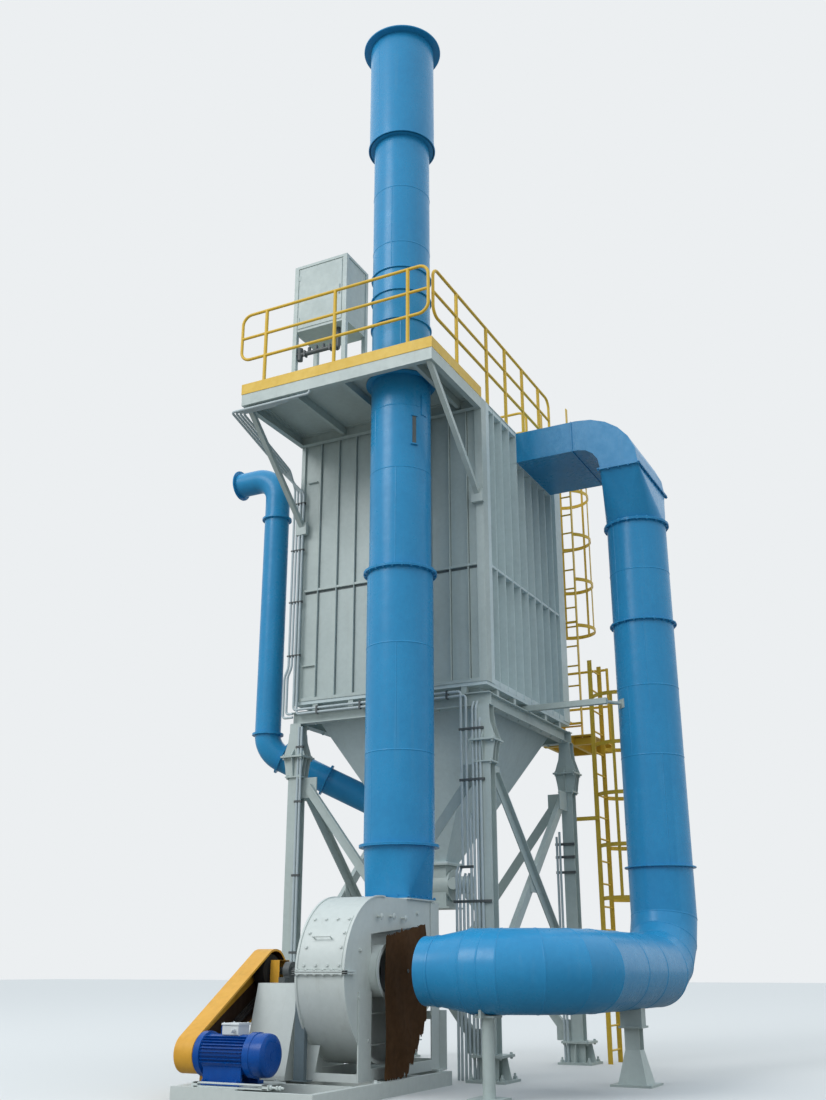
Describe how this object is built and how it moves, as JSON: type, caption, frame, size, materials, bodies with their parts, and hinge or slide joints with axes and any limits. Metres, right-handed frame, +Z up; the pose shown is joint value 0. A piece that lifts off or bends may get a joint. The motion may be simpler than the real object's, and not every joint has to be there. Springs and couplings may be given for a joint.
{
  "type": "baghouse dust collector",
  "caption": "Bag filter dust collector on a braced steel frame, with hopper, roof platform, ladders, gas ducts, centrifugal fan and tall exhaust stack.",
  "frame": {"origin": "centre of the four column bases, on the ground", "axes": "+Z up, the fan and stack stand on the -Y side, the riser duct on the +X side"},
  "size_m": [5.64, 6.865, 12.9],
  "materials": {
    "grey_paint": "satin grey-green paint on steel",
    "pale_paint": "satin off-white paint on steel",
    "blue_paint": "semi-gloss blue paint on sheet steel",
    "yellow_paint": "semi-gloss safety yellow paint",
    "motor_paint": "gloss deep blue paint on cast iron",
    "bare_steel": "dull machined steel",
    "belt_rubber": "matte black rubber",
    "rusty_sheet": "rust-brown bare sheet, matte"
  },
  "bodies": {
    "root": {"columns": "grey_paint", "ring_beams": "grey_paint", "bracing_front": "grey_paint", "bracing_right": "grey_paint", "bracing_rear": "grey_paint", "bracing_left": "grey_paint", "housing_front_wall": "grey_paint", "housing_right_wall": "grey_paint", "housing_rear_wall": "grey_paint", "housing_left_wall": "grey_paint", "housing_roof": "grey_paint", "hopper": "grey_paint", "hopper_discharge": "grey_paint", "roof_cabinet": "grey_paint", "platform_deck": "grey_paint", "platform_frame": "grey_paint", "toe_board": "yellow_paint", "handrails": "yellow_paint", "ladder_lower": "yellow_paint", "ladder_upper": "yellow_paint", "rest_platform": "yellow_paint", "outlet_duct": "blue_paint", "outlet_transition": "blue_paint", "main_riser": "blue_paint", "riser_stay": "grey_paint", "suction_duct": "blue_paint", "suction_reducer": "blue_paint", "duct_post_front": "grey_paint", "duct_post_rear": "grey_paint", "inlet_elbow": "blue_paint", "inlet_riser": "blue_paint", "inlet_branch": "blue_paint", "fan_skid": "pale_paint", "fan_casing": "pale_paint", "fan_frame": "pale_paint", "bearing_pedestal": "pale_paint", "fan_rotor": "bare_steel", "belt_guard": "yellow_paint", "drive_belts": "belt_rubber", "motor": "motor_paint", "inlet_sheet": "rusty_sheet", "stack_foot": "blue_paint", "stack_lower": "blue_paint", "stack_upper": "blue_paint", "stack_head": "blue_paint"}
  },
  "joints": []
}
